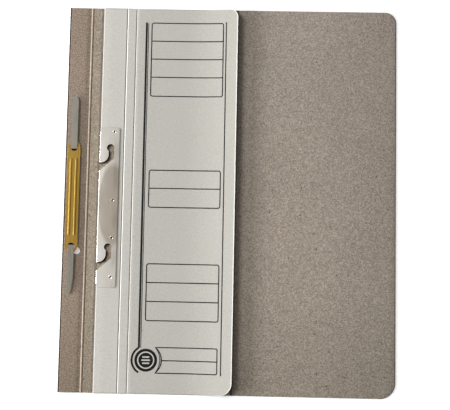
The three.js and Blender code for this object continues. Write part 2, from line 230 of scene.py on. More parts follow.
def rolledSteel(name, look):
    # cold-rolled strip: mirror-like at a glance, with fine rolling lines and a soft wave; its colour goes
    # from a middle tone round a given place to an outer tone, which on the hook plate is a painted
    # reflection, duller in the middle and bright at the ends
    material, tree, shader = newMaterial(name)
    place = addNode(tree, "ShaderNodeTexCoord").outputs["Object"]
    along = addNode(tree, "ShaderNodeMapping", inputs={"Scale": look["grainStretch"]},
                    links={"Vector": place})
    grain = noise(tree, along.outputs["Vector"], look["grainSize"], 3.0)
    wave = noise(tree, place, look["waveSize"], 1.0)
    shift = addNode(tree, "ShaderNodeVectorMath", settings={"operation": "SUBTRACT"},
                    links={0: place}, inputs={1: [v * mm for v in look["middleTonePlace"]]})
    ripple = addNode(tree, "ShaderNodeVectorMath", settings={"operation": "MULTIPLY_ADD"},
                     links={0: wave.outputs["Color"], 2: shift.outputs["Vector"]},
                     inputs={1: [look["ripple"] * mm] * 3})
    reach = addNode(tree, "ShaderNodeVectorMath", settings={"operation": "MULTIPLY"},
                    links={0: ripple.outputs["Vector"]}, inputs={1: [1 / (v * mm) for v in look["middleToneHalf"]]})
    away = addNode(tree, "ShaderNodeVectorMath", settings={"operation": "LENGTH"},
                   links={0: reach.outputs["Vector"]})
    middleTone = addRamp(tree, away.outputs["Value"], [
        (0.0, linearFromHex(look["middleTone"])), (look["middleToneFade"], linearFromHex(look["middleTone"])),
        (1.0, linearFromHex(look["outerTone"]))])
    streak = addRamp(tree, grain.outputs["Fac"], [(0.3, grey(look["streak"])), (0.7, grey(1.0))])
    colour = mixed(tree, middleTone.outputs["Color"], streak.outputs["Color"], 1.0, "MULTIPLY")
    tree.links.new(colour, shader.inputs["Base Color"])
    shader.inputs["Metallic"].default_value = 1.0
    rough = addRamp(tree, grain.outputs["Fac"], [
        (0.3, grey(look["roughness"] - look["roughnessSpread"])),
        (0.7, grey(look["roughness"] + look["roughnessSpread"]))])
    tree.links.new(rough.outputs["Color"], shader.inputs["Roughness"])
    waveBump = addNode(tree, "ShaderNodeBump", inputs={
        "Strength": 1.0, "Distance": look["waveDepth"] * mm}, links={"Height": wave.outputs["Fac"]})
    grainBump = addNode(tree, "ShaderNodeBump", inputs={
        "Strength": look["grainStrength"], "Distance": 0.01 * mm},
        links={"Height": grain.outputs["Fac"], "Normal": waveBump.outputs["Normal"]})
    tree.links.new(grainBump.outputs["Normal"], shader.inputs["Normal"])
    return material


fastenerX = 7.0   # from the tab's edge to the middle of the fastener
tabCentreX = tabX / mm + fastenerX
# the two tones are a painted reflection: the plate's ends bright, its middle duller and warmer
steelLook = {
    "outerTone": "#dfdcd6", "middleTone": "#bcb4a8", "middleTonePlace": (plateLow.x / mm + 13.0, -5.0, 0.0),
    "middleToneHalf": (12.5, 35.0, 100.0), "middleToneFade": 0.86, "streak": 0.93,
    "roughness": 0.22, "roughnessSpread": 0.05,
    "grainSize": 0.5, "grainStretch": (1.0, 0.06, 1.0), "grainStrength": 0.2,
    "waveSize": 16.0, "waveDepth": 0.12, "ripple": 2.0,
}

tinLook = {
    "outerTone": "#8e8b82", "middleTone": "#918e85", "middleTonePlace": (tabCentreX, 60.0, 0.0),
    "middleToneHalf": (40.0, 60.0, 100.0), "middleToneFade": 0.4, "streak": 0.85,
    "roughness": 0.36, "roughnessSpread": 0.07,
    "grainSize": 0.5, "grainStretch": (1.0, 0.05, 1.0), "grainStrength": 0.3,
    "waveSize": 12.0, "waveDepth": 0.06, "ripple": 2.0,
}

# painted shade: near-black tin under the tab, where the strip shows at the bottom of the holes, and in the
# pips' pierced middles
shadeTinLook = dict(tinLook, outerTone="#2a2723", middleTone="#2a2723", roughness=0.6)

brassLook = {
    "outerTone": "#aa7432", "middleTone": "#9d7f3c", "middleTonePlace": (tabCentreX, 22.0, 0.0),
    "middleToneHalf": (40.0, 66.0, 100.0), "middleToneFade": 0.9, "streak": 0.85,
    "roughness": 0.4, "roughnessSpread": 0.05,
    "grainSize": 0.5, "grainStretch": (1.0, 0.04, 1.0), "grainStrength": 0.08,
    "waveSize": 14.0, "waveDepth": 0.02, "ripple": 2.0,
}


def printingInk():
    # matt black offset ink, soaked a little into the board
    material, tree, shader = newMaterial("offsetInkBlack")
    place = addNode(tree, "ShaderNodeTexCoord").outputs["Object"]
    mottle = noise(tree, place, 0.8, 3.0)
    colour = addRamp(tree, mottle.outputs["Fac"], [
        (0.3, linearFromHex("#0d0d0c")), (0.7, linearFromHex("#1a1918"))])
    tree.links.new(colour.outputs["Color"], shader.inputs["Base Color"])
    shader.inputs["Roughness"].default_value = 0.8
    shader.inputs["Specular IOR Level"].default_value = 0.2
    return material


brownCard = recycledCard("recycledBoardBrown", brownLook)
backCard = recycledCard("recycledBoardToneAndPaintedShade", brownLook, backToneAndPaintedShade)
whiteCard = recycledCard("duplexBoardWhite", whiteLook)
coverCard = recycledCard("duplexBoardWhitePaintedShade", whiteLook, coverPaintedShade)
cutEdge = recycledCard("duplexBoardCutEdge", edgeLook)
brownRimAndShade = recycledCard("recycledBoardCrushedRimAndPaintedShade", brownRimAndShadeLook)
paintedHighlightRim = recycledCard("duplexBoardPaintedHighlightRim", highlightRimLook)
greyRim = recycledCard("duplexBoardCrushedRim", greyRimLook)
paintedGrooveShade = recycledCard("duplexBoardPaintedGrooveShade", grooveShadeLook)
paintedRidgeHighlight = recycledCard("recycledBoardPaintedRidgeHighlight", ridgeHighlightLook)
shadedFold = recycledCard("recycledBoardShadedFold", shadedFoldLook)
paintedShadeAndDarkEdge = recycledCard("boardPaintedShadeAndDarkEdge", shadeAndDarkEdgeLook)
hookSteel = rolledSteel("rolledSteelBright", steelLook)
prongTin = rolledSteel("tinnedSteelDull", tinLook)
paintedShadeTin = rolledSteel("tinnedSteelPaintedShade", shadeTinLook)
barBrass = rolledSteel("brassedSteelSatin", brassLook)
inkBlack = printingInk()
print("materials made")


def spread(low, high, step):
    count = max(1, math.ceil((high - low) / step))
    return [low + (high - low) * i / count for i in range(count + 1)]


def stations(stops, step):
    # evenly spread points that also hit every stop
    values = []
    for low, high in zip(stops, stops[1:]):
        values += spread(low, high, step)[:-1]
    return values + [stops[-1]]


def addObject(name, bm, materials):
    mesh = bpy.data.meshes.new(name)
    bm.to_mesh(mesh)
    bm.free()
    for material in materials:
        mesh.materials.append(material)
    made = bpy.data.objects.new(name, mesh)
    bpy.context.scene.collection.objects.link(made)
    return made


def closedSheet(name, rows, looks, rims=None, scored=None):
    # each row is (lower, upper), two lists of points left to right; looks = (top, bottom, edge, others)
    # rims gives the material slot of the border faces on the sides "left", "right", "low" and "high"
    # scored gives the slot of the mesh columns that lie in a crease
    rims, scored = rims or {}, scored or {}
    bm = bmesh.new()
    low = [[bm.verts.new(point) for point in lower] for lower, upper in rows]
    high = [[bm.verts.new(point) for point in upper] for lower, upper in rows]
    rowLast, columnLast = len(rows) - 2, len(rows[0][0]) - 2

    def face(verts, slot):
        bm.faces.new(verts).material_index = slot

    def topSlot(i, j):
        sides = (("left", i == 0), ("right", i == columnLast), ("low", j == 0), ("high", j == rowLast))
        return next((rims[side] for side, here in sides if here and side in rims), scored.get(i, 0))

    for j in range(rowLast + 1):
        for i in range(columnLast + 1):
            face((high[j][i], high[j][i + 1], high[j + 1][i + 1], high[j + 1][i]), topSlot(i, j))
            face((low[j][i], low[j + 1][i], low[j + 1][i + 1], low[j][i + 1]), 1)
        face((low[j][0], high[j][0], high[j + 1][0], low[j + 1][0]), 2)
        face((low[j][-1], low[j + 1][-1], high[j + 1][-1], high[j][-1]), 2)
    for i in range(columnLast + 1):
        face((low[0][i], low[0][i + 1], high[0][i + 1], high[0][i]), 2)
        face((low[-1][i], high[-1][i], high[-1][i + 1], low[-1][i + 1]), 2)
    return addObject(name, bm, looks)


def prism(points, low, high, material):
    # upright block over an outline, used as a cutter
    bm = bmesh.new()
    under = [bm.verts.new((x, y, low)) for x, y in points]
    over = [bm.verts.new((x, y, high)) for x, y in points]
    count = len(points)
    bm.faces.new(list(reversed(under)))
    bm.faces.new(over)
    for i in range(count):
        k = (i + 1) % count
        bm.faces.new((under[i], under[k], over[k], over[i]))
    bmesh.ops.recalc_face_normals(bm, faces=bm.faces)
    return addObject("cutter", bm, [material])


def applyModifiers(piece):
    bpy.context.view_layer.update()
    depsgraph = bpy.context.evaluated_depsgraph_get()
    baked = bpy.data.meshes.new_from_object(piece.evaluated_get(depsgraph), depsgraph=depsgraph)
    old = piece.data
    piece.modifiers.clear()
    piece.data = baked
    bpy.data.meshes.remove(old)


def cut(piece, cutters, operation):
    for cutter in cutters:
        modifier = piece.modifiers.new("cut", "BOOLEAN")
        modifier.operation = operation
        modifier.solver = "EXACT"
        modifier.material_mode = "TRANSFER"
        modifier.object = cutter
    applyModifiers(piece)
    for cutter in cutters:
        bpy.data.objects.remove(cutter)


def arc(cx, cy, radius, start, end, steps):
    turns = [math.radians(start + (end - start) * i / steps) for i in range(steps + 1)]
    return [(cx + radius * math.cos(t), cy + radius * math.sin(t)) for t in turns]


def finishEdges(piece, angle=40):
    for polygon in piece.data.polygons:
        polygon.use_smooth = True
    piece.data.set_sharp_from_angle(angle=math.radians(angle))


sheetLook = {
    "step": 4.0,            # mm between mesh lines on flat card
    "fineStep": 2.5,        # the same on the front sheet, which is curved
    "creaseSteps": 12,      # mesh columns across a crease of the front sheet
    "joinLines": 0.04,      # mesh lines closer together than this become one
    "rimWidth": 0.65,       # border crushed by the cutting die
    "crush": 0.1,           # how far that border is pressed down at its outer line
    "drawReach": 30.0,      # columns this close to a rounded side are drawn in to follow it
    "creaseDepth": 0.3, "creaseHalf": 0.6,
    "firstBands": [(-0.6, 0.05, 5), (0.15, 0.6, 3)],    # painted shade on each groove's left flank, a painted highlight on its right flank
    "secondBands": [(-0.6, 0.05, 5), (0.2, 0.45, 3)],
}


def creasePull(x, centre, half):
    # 1 at the middle of a crease, 0 at its sides, rounded like a scored line
    away = abs(x - centre) / half
    return 0.0 if away >= 1 else (1 + math.cos(math.pi * away)) / 2


def sheetHeights(low, high, lowRadius=0.0, topRadius=0.0):
    # mesh lines across a sheet: a rim at both ends, close together round each corner
    rim = sheetLook["rimWidth"] * mm
    lines = [low, low + rim, high - rim, high]
    for end, radius, side in ((low, lowRadius, 1), (high, topRadius, -1)):
        turns = [math.radians(turn) for turn in range(0, 90, 6) if radius]
        lines += [end + side * radius * (1 - math.sin(turn)) for turn in turns]
    lines.sort()
    kept = [lines[0]]
    for line in lines[1:]:
        if line - kept[-1] > sheetLook["joinLines"] * mm:
            kept.append(line)
    kept[-1] = high
    return stations(kept, sheetLook["step"] * mm)


def roundedLimit(y, right, low, high, lowRadius, topRadius):
    # where a sheet with rounded right-hand corners ends at height y
    for depth, radius in ((y - low, lowRadius), (high - y, topRadius)):
        if depth < radius:
            return right - radius + math.sqrt(max(radius ** 2 - (radius - depth) ** 2, 0.0))
    return right


def drawnColumns(xs, limit):
    # the columns of one row, the last of them on the outline and the one before it a rim's width inside
    rim = sheetLook["rimWidth"] * mm
    base = xs[-1] - sheetLook["drawReach"] * mm
    share = (limit - rim - base) / (xs[-2] - base)
    return [x if x <= base else base + (x - base) * share for x in xs[:-1]] + [limit]


def sheetRows(xs, ys, under, over, limitAt=None, rims=(), crush=0.0):
    rows = []
    for j, y in enumerate(ys):
        columns = drawnColumns(xs, limitAt(y)) if limitAt else xs
        pressed = (j == 0 and "low" in rims) or (j == len(ys) - 1 and "high" in rims)
        lower = [(x, y, under(x)) for x in columns]
        upper = []
        for i, x in enumerate(columns):
            atSide = (i == 0 and "left" in rims) or (i == len(columns) - 1 and "right" in rims)
            upper.append((x, y, over(x) - (crush if pressed or atSide else 0.0)))
        rows.append((lower, upper))
    return rows


def around(centre, half, steps):
    return [centre - half + 2 * half * i / steps for i in range(steps + 1)]


def scoredColumns(xs, centre, bands):
    # bands are (start, end, slot), in mm from centre
    slots = {}
    for i, (left, right) in enumerate(zip(xs, xs[1:])):
        away = ((left + right) / 2 - centre) / mm
        slots.update({i: slot for start, end, slot in bands if start < away < end})
    return slots


backLook = {
    "tabCrease": 18.1, "creaseHeight": 0.2, "creaseHalf": 0.9, "rampLength": 3.5, "tabLift": 0.32,
    # painted shade left of the tab's bead, a painted highlight on its lit flank and painted shade on its
    # shaded flank
    "creaseBands": [(-1.25, -0.5, 5), (-0.5, 0.72, 4), (0.72, 1.6, 3)], "besideCrease": 0.3,
    "tabRim": 0.9,   # the tab's free edge is drawn with a near-black border
    "stripShade": [(-1.95, 0.3, 5)],   # painted shade: a dark band on the brown board along the front sheet's raised left edge
    "tabStep": 3.0, "rampStep": 0.6, "ridgeSteps": 10, "holeSteps": 20,
    "topRadius": 9.0, "lowRadius": 12.5,
    "holeRadius": 2.75, "holePitch": 78.0, "drawnX": 4.4, "drawnY": -4.3,
}


def backSheet():
    look = backLook
    rim = sheetLook["rimWidth"] * mm
    crease = tabX + look["tabCrease"] * mm
    half = look["creaseHalf"] * mm
    rampEnd = crease - half
    rampStart = rampEnd - look["rampLength"] * mm
    xs = [tabX] + stations([tabX + look["tabRim"] * mm, rampStart], look["tabStep"] * mm)[:-1]
    xs += stations([rampStart, rampEnd], look["rampStep"] * mm)[:-1]
    xs += around(crease, half, look["ridgeSteps"]) + [crease + half + look["besideCrease"] * mm]
    shade = [stripLow.x + edge * mm for band in look["stripShade"] for edge in band[:2]]
    stops = [crease + half + 2 * look["besideCrease"] * mm, *shade, backHigh.x - rim]
    xs += stations(stops, sheetLook["step"] * mm)
    xs += [backHigh.x]
    radii = (look["lowRadius"] * mm, look["topRadius"] * mm)
    ys = sheetHeights(backLow.y, backHigh.y, *radii)

    def under(x):
        ramp = 1 - smoothStep(x, rampStart, rampEnd)
        return look["tabLift"] * mm * ramp + look["creaseHeight"] * mm * creasePull(x, crease, half)

    def limitAt(y):
        return roundedLimit(y, backHigh.x, backLow.y, backHigh.y, *radii)

    rims = {"left": 6, "right": 3, "low": 3, "high": 3}
    crush = sheetLook["crush"] * mm
    rows = sheetRows(xs, ys, under, lambda x: under(x) + cardThickness, limitAt, rims, crush)
    looks = (backCard, whiteCard, cutEdge, brownRimAndShade, paintedRidgeHighlight, shadedFold, paintedShadeAndDarkEdge)
    scored = scoredColumns(xs, crease, look["creaseBands"])
    scored.update(scoredColumns(xs, stripLow.x, look["stripShade"]))
    sheet = closedSheet("backSheet", rows, looks, rims, scored)
    fx, fy, r = tabX + fastenerX * mm, look["holePitch"] / 2 * mm, look["holeRadius"] * mm
    slant = math.degrees(math.atan2(look["drawnY"], look["drawnX"]))
    steps = look["holeSteps"]
    lowHole = arc(fx + look["drawnX"] * mm, -fy + look["drawnY"] * mm, r, slant - 90, slant + 90, steps)
    lowHole += arc(fx, -fy, r, slant + 90, slant + 270, steps)
    holes = [arc(fx, fy, r, 0, 360, 2 * steps)[:-1], lowHole]
    cut(sheet, [prism(hole, -cutReach, cutReach, cutEdge) for hole in holes], "DIFFERENCE")
    finishEdges(sheet)
    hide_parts("back_cover")
    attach(sheet, "folder_back")


coverLook = {
    "restWidth": 42.0, "restGap": 0.05, "topRadius": 6.0, "lowRadius": 9.5, "spineStep": 1.0,
    "rampFrom": 6.25, "glueWidth": 1.2,   # the strip comes down from the hem to the glue line
}
coverRestZ = cardThickness + coverLook["restGap"] * mm
coverEdgeLift = panelHigh.z - cardThickness - coverRestZ
spineRise = jointPlace["spine_hinge"].z - jointPlace["cover_hinge"].z
rampStartX = plateLow.x + coverLook["rampFrom"] * mm
rampEndX = creaseX - coverLook["glueWidth"] * mm


def coverUnder(x):
    # underside of the whole front sheet, from the hook plate's hem to the free edge
    look = coverLook
    if x <= creaseX:
        heldZ = stripHigh.z - cardThickness
        share = min(max((x - rampStartX) / (rampEndX - rampStartX), 0.0), 1.0)
        return heldZ + (glueZ - heldZ) * share
    if x <= secondCreaseX:
        return glueZ + spineRise * (x - creaseX) / (secondCreaseX - creaseX)
    restX = secondCreaseX + look["restWidth"] * mm
    if x < restX:
        share = (restX - x) / (look["restWidth"] * mm)
        return coverRestZ + (glueZ + spineRise - coverRestZ) * share ** 2
    share = (x - restX) / (panelHigh.x - restX)
    return coverRestZ + coverEdgeLift * share ** 2


def coverOver(x):
    half = sheetLook["creaseHalf"] * mm
    pull = max(creasePull(x, creaseX, half), creasePull(x, secondCreaseX, half))
    return coverUnder(x) + cardThickness - sheetLook["creaseDepth"] * mm * pull


hookSlotLook = {
    "pitch": 80.0, "inset": 9.1, "roundRadius": 2.95, "neckWidth": 4.45, "neckLength": 8.8,
    "tongueRadius": 6.5, "tongueY": -5.6, "mouthLowY": -19.3, "overrun": 3.0,
    "cardClear": 0.35, "lipTuck": 0.3, "lipShift": (0.85, -0.85),
}


def hookSlotOutline(centreY, margin):
    # margin widens the slot all round
    look = hookSlotLook
    slope = (look["mouthLowY"] + look["neckLength"]) / (-look["inset"] - look["roundRadius"])
    right = look["roundRadius"] + margin
    neckX = look["roundRadius"] - look["neckWidth"]
    neckLeft = neckX - margin
    tongueX, tongueRadius = neckX - look["tongueRadius"], look["tongueRadius"] - margin
    outside = -look["inset"] - look["overrun"]

    def mouthLow(x):
        rise = margin * math.sqrt(1 + slope ** 2)
        return slope * (x - look["roundRadius"]) - look["neckLength"] - rise

    roundEnd = 180 + math.degrees(math.acos(-neckLeft / right))
    points = [(right, mouthLow(right))]
    points += arc(0, 0, right, 0, roundEnd, 24)
    points += arc(tongueX, look["tongueY"], tongueRadius, 0, -90, 16)
    points += [(outside, look["tongueY"] - tongueRadius), (outside, mouthLow(outside))]
    cx = plateLow.x + look["inset"] * mm
    return [(cx + x * mm, centreY + y * mm) for x, y in points]


def hookSlotCutters(material, margin=0.0):
    half = hookSlotLook["pitch"] / 2 * mm
    floorZ = cardThickness + layerGap / 2
    return [prism(hookSlotOutline(y, margin), floorZ, cutReach, material) for y in (half, -half)]


plateLook = {
    "thickness": 0.2, "cornerRadius": 2.0, "cornerSteps": 8,
    "hemTuck": 0.3, "hemWidth": 6.0, "hemEndNotch": 2.8, "notchDepth": 0.95, "hemSteps": 12,
    "pipInset": 11.9, "pipHeights": [53.2, -2.3, -32.3, -63.7],
    "pipProfile": [   # radius and height from the pierced middle outwards
        (0.0, -0.24), (0.5, -0.24), (0.62, -0.18), (0.85, -0.07), (1.08, 0.06), (1.2, 0.08),
        (1.3, 0.05), (1.4, -0.02), (1.45, -0.05), (1.48, -0.15)],
    "pipHole": 1.3, "pipDarkRings": 3, "pipSides": 28,
    "sagEase": 1.5, "sagShare": 0.5,   # the plate follows half of its card's way down to the glue line
    "rollWidth": 0.6, "rollDrop": 0.1, "rollStep": 0.2,   # the crease's side is rolled down a hair
    "bellyRise": 0.16,   # the leaf bulges a hair between its pips, so it mirrors the room unevenly
    "bellyEdge": 5.0, "bellyRun": 16.0, "step": 0.8,
}


def paintedSlotShade(name, centreY):
    # the card was punched a little off the steel: its edge shows on the slot's upper left side as a
    # near-black lip, painted shade where the plate's shadow falls
    look = hookSlotLook
    low, high = stripHigh.z - cardThickness, stripHigh.z
    lip = prism(hookSlotOutline(centreY, look["lipTuck"]), low, high, paintedShadeAndDarkEdge)
    shiftX, shiftY = (v * mm for v in look["lipShift"])
    inner = [(x + shiftX, y + shiftY) for x, y in hookSlotOutline(centreY, 0.0)]
    outside, reach = plateLow.x - 2 * look["overrun"] * mm, look["pitch"] / 2 * mm
    beside = [(outside, centreY - reach), (stripLow.x, centreY - reach),
              (stripLow.x, centreY + reach), (outside, centreY + reach)]
    cutters = [prism(outline, low - 1 * mm, high + 1 * mm, paintedShadeAndDarkEdge) for outline in (inner, beside)]
    cut(lip, cutters, "DIFFERENCE")
    lip.name = name
    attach(lip, "folder_back")


whiteSheetLooks = (coverCard, brownCard, cutEdge, paintedHighlightRim, greyRim, paintedGrooveShade)


def hemRecess():
    # the card is pressed in where the steel hem goes round its edge
    look = plateLook
    notch = look["hemEndNotch"] * mm
    left, right = stripLow.x - 1 * mm, stripLow.x + look["hemTuck"] * mm
    low, high = plateLow.y + notch, plateHigh.y - notch
    return prism([(left, low), (right, low), (right, high), (left, high)], 0.0, cutReach, cutEdge)


def frontStripSheet():
    half = sheetLook["creaseHalf"] * mm
    rim = sheetLook["rimWidth"] * mm
    xs = [stripLow.x] + stations([stripLow.x + rim, rampStartX, rampEndX], sheetLook["fineStep"] * mm)
    xs += around(creaseX, half, sheetLook["creaseSteps"])
    xs += stations([creaseX + half, spineMiddleX], coverLook["spineStep"] * mm)[1:]
    ys = sheetHeights(stripLow.y, stripHigh.y)
    rims = {"left": 3, "low": 4, "high": 4}
    rows = sheetRows(xs, ys, coverUnder, coverOver, None, rims)
    scored = scoredColumns(xs, creaseX, sheetLook["firstBands"])
    sheet = closedSheet("frontSheetStrip", rows, whiteSheetLooks, rims, scored)
    cut(sheet, [hemRecess(), *hookSlotCutters(cutEdge, hookSlotLook["cardClear"])], "DIFFERENCE")
    finishEdges(sheet)
    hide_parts("front_cover_strip")
    place = (creaseX - half, 0, glueZ), (creaseX + half, 0, glueZ)
    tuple(place[0])
    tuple(place[1])
    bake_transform(sheet)


def frontPanelSheet():
    look = coverLook
    half = sheetLook["creaseHalf"] * mm
    rim = sheetLook["rimWidth"] * mm
    xs = stations([spineMiddleX, secondCreaseX - half], look["spineStep"] * mm)[:-1]
    xs += around(secondCreaseX, half, sheetLook["creaseSteps"])
    xs += stations([secondCreaseX + half, panelHigh.x - rim], sheetLook["fineStep"] * mm)[1:] + [panelHigh.x]
    radii = (look["lowRadius"] * mm, look["topRadius"] * mm)
    ys = sheetHeights(panelLow.y, panelHigh.y, *radii)

    def limitAt(y):
        return roundedLimit(y, panelHigh.x, panelLow.y, panelHigh.y, *radii)

    rims = {"right": 3, "low": 4, "high": 4}
    rows = sheetRows(xs, ys, coverUnder, coverOver, limitAt, rims)
    scored = scoredColumns(xs, secondCreaseX, sheetLook["secondBands"])
    sheet = closedSheet("frontSheetCover", rows, whiteSheetLooks, rims, scored)
    finishEdges(sheet)
    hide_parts("front_cover_panel", "front_spine_strip")
    place = (secondCreaseX - half, 0, glueZ), (secondCreaseX + half, 0, glueZ)
    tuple(place[0])
    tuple(place[1])
    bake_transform(sheet)


backSheet()
frontStripSheet()
frontPanelSheet()
# painted shade in the two hook slots
paintedSlotShade("upperSlotPaintedShade", hookSlotLook["pitch"] / 2 * mm)
paintedSlotShade("lowerSlotPaintedShade", -hookSlotLook["pitch"] / 2 * mm)
print("card sheets made")


printLook = {
    "thin": 0.85, "faint": 0.55, "hatch": 0.35, "heavy": 1.6, "lift": 0.03,
    "skew": 0.65, "skewFrom": -140.0, "skewLength": 280.0,   # the form is printed a touch askew
    "heavyX": 63.6, "heavyTop": 143.5, "besideX": 65.1, "besideDrop": 0.6,
    "rightX": 128.5, "rightTop": 144.2, "rightEnd": -139.4,
    "discX": 69.25, "discY": -128.5, "discRadius": 9.0, "collarRadius": 11.2, "collarEnd": 240,
    "tables": [   # left, right, top, row heights
        (67.9, 126.2, 143.2, [15.0, 14.85, 14.95, 15.6]),
        (68.4, 125.7, 22.5, [14.6, 15.3]),
        (68.2, 125.8, -52.6, [14.85, 14.95, 15.1]),
    ],
    "footTop": -118.5, "footBottom": -138.5, "footMiddle": -128.7, "footRight": 125.5,
    "hollowRadius": 12.4, "hatchDepth": 1.4, "footCorner": 1.2,
    "cornerRadius": 1.6,
}


def inkPlace(x, y):
    look = printLook
    px = tabX + (x - look["skew"] * (y - look["skewFrom"]) / look["skewLength"]) * mm
    return Vector((px, y * mm, coverUnder(px) + cardThickness + look["lift"] * mm))


def resample(points, step):
    dense = [points[0]]
    for (ax, ay), (bx, by) in zip(points, points[1:]):
        count = max(1, math.ceil(abs(bx - ax) / step))
        dense += [(ax + (bx - ax) * i / count, ay + (by - ay) * i / count) for i in range(1, count + 1)]
    return dense


def inkLine(bm, points, width, closed=False):
    # a flat stroke of even width along points, which lie in the sheet's plan in mm
    points = resample(points + points[:1] if closed else points, 2.5)
    if closed:
        points = points[:-1]
    count = len(points)
    sides = []
    for i, (x, y) in enumerate(points):
        before = points[(i - 1) % count] if closed or i > 0 else points[i]
        after = points[(i + 1) % count] if closed or i < count - 1 else points[i]
        tangent = Vector((after[0] - before[0], after[1] - before[1])).normalized()
        away = Vector((-tangent.y, tangent.x)) * width / 2
        sides.append([bm.verts.new(inkPlace(x + s * away.x, y + s * away.y)) for s in (1, -1)])
    for i in range(count if closed else count - 1):
        a, b = sides[i], sides[(i + 1) % count]
        bm.faces.new((a[0], a[1], b[1], b[0]))


def roundedBox(left, right, bottom, top, radius):
    return [
        *arc(right - radius, top - radius, radius, 0, 90, 6),
        *arc(left + radius, top - radius, radius, 90, 180, 6),
        *arc(left + radius, bottom + radius, radius, 180, 270, 6),
        *arc(right - radius, bottom + radius, radius, 270, 360, 6),
    ]


def inkTable(bm, left, right, top, rows):
    look = printLook
    bottom = top - sum(rows)
    inkLine(bm, roundedBox(left, right, bottom, top, look["cornerRadius"]), look["thin"], closed=True)
    y = top
    for row in rows[:-1]:
        y -= row
        inkLine(bm, [(left, y), (right, y)], look["thin"])


def inkDisc(bm, cx, cy, radius, sides=48):
    rings = [[bm.verts.new(inkPlace(cx, cy))]]
    for share in (0.35, 0.7, 1.0):
        circle = arc(cx, cy, radius * share, 0, 360, sides)[:-1]
        rings.append([bm.verts.new(inkPlace(x, y)) for x, y in circle])
    for i in range(sides):
        k = (i + 1) % sides
        bm.faces.new((rings[0][0], rings[1][i], rings[1][k]))
        for inner, outer in zip(rings[1:], rings[2:]):
            bm.faces.new((inner[i], outer[i], outer[k], inner[k]))


def arcThrough(cx, reach, high, low, steps):
    # points from high to low on the circle that bulges to cx + reach halfway between them
    half = (high[1] - low[1]) / 2
    inset = cx + reach - high[0]
    radius = (half ** 2 + inset ** 2) / (2 * inset)
    swing = math.degrees(math.asin(half / radius))
    return arc(cx + reach - radius, (high[1] + low[1]) / 2, radius, swing, -swing, steps)


def inkFoot(bm, cx, cy):
    # the lowest field gives way to the disc with a hollow, hatched side
    look = printLook
    right, corner, outer = look["footRight"], look["footCorner"], look["hollowRadius"]
    topY, bottomY, middleY = look["footTop"], look["footBottom"], look["footMiddle"]
    high = (cx + math.sqrt(outer ** 2 - (topY - cy) ** 2), topY)
    low = (high[0], bottomY)
    side = arcThrough(cx, outer, high, low, 16)
    outline = side + [(right - corner, bottomY)]
    outline += arc(right - corner, bottomY + corner, corner, -90, 0, 5)[1:]
    outline += arc(right - corner, topY - corner, corner, 0, 90, 5)
    inkLine(bm, outline, look["thin"], closed=True)
    inner = arcThrough(cx, outer - look["hatchDepth"], high, low, 16)
    inkLine(bm, inner, look["faint"])
    inkLine(bm, [(cx + outer, middleY), (right, middleY)], look["thin"])
    for start, end in zip(inner[1:-2], side[2:-1]):
        inkLine(bm, [start, end], look["hatch"])


def printedForm():
    look = printLook
    bm = bmesh.new()
    for left, right, top, rows in look["tables"]:
        inkTable(bm, left, right, top, rows)
    cx, cy, collar, heavyX = look["discX"], look["discY"], look["collarRadius"], look["heavyX"]
    start = math.degrees(math.acos((heavyX - cx) / collar))
    collarArc = arc(cx, cy, collar, start, look["collarEnd"], 24)
    inkLine(bm, [(heavyX, look["heavyTop"])] + collarArc, look["heavy"])
    besideX, besideTop = look["besideX"], look["heavyTop"] - look["besideDrop"]
    inkLine(bm, [(besideX, besideTop), (besideX, collarArc[0][1])], look["faint"])
    inkLine(bm, [(look["rightX"], look["rightTop"]), (look["rightX"], look["rightEnd"])], look["thin"])
    inkDisc(bm, cx, cy, look["discRadius"])
    inkFoot(bm, cx, cy)
    form = addObject("coverPrint", bm, [inkBlack])
    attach(form, "front_cover")


emblemLook = {"ring": 6.3, "ringWidth": 0.9, "barHalf": 3.4, "barWidth": 1.1, "barGap": 2.4, "lift": 0.03}


def discEmblem():
    # bare paper showing through the disc: a plain ring with three level bars
    look, cx, cy = emblemLook, printLook["discX"], printLook["discY"]
    bm = bmesh.new()
    inkLine(bm, arc(cx, cy, look["ring"], 0, 360, 60)[:-1], look["ringWidth"], closed=True)
    for row, share in ((-1, 0.8), (0, 1.0), (1, 0.8)):
        y = cy + row * look["barGap"]
        half = look["barHalf"] * share
        inkLine(bm, [(cx - half, y), (cx + half, y)], look["barWidth"])
    for vert in bm.verts:
        vert.co.z += look["lift"] * mm
    emblem = addObject("discEmblem", bm, [whiteCard])
    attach(emblem, "front_cover")


printedForm()
discEmblem()
print("print laid on the cover")


def plateSag(x):
    # how far the plate's leaf comes down on the crease's side
    ease = plateLook["sagEase"] * mm
    slope = plateLook["sagShare"] * (stripHigh.z - cardThickness - glueZ) / (rampEndX - rampStartX)
    run = max(x - rampStartX, 0.0)
    return slope * (run ** 2 / (4 * ease) if run < 2 * ease else run - ease)


def plateBelly(x, y):
    look = plateLook
    edge = look["bellyEdge"] * mm
    across = smoothStep(x, plateLow.x, plateLow.x + edge)
    across *= 1 - smoothStep(x, plateHigh.x - edge, plateHigh.x)
    between = min(abs(y - pipY * mm) for pipY in look["pipHeights"])
    belly = look["bellyRise"] * mm * across * smoothStep(between, 0, look["bellyRun"] * mm)
    roll = look["rollDrop"] * mm * smoothStep(x, plateHigh.x - look["rollWidth"] * mm, plateHigh.x)
    return belly - roll - plateSag(x)


plateTopZ = stripHigh.z + layerGap + plateLook["thickness"] * mm


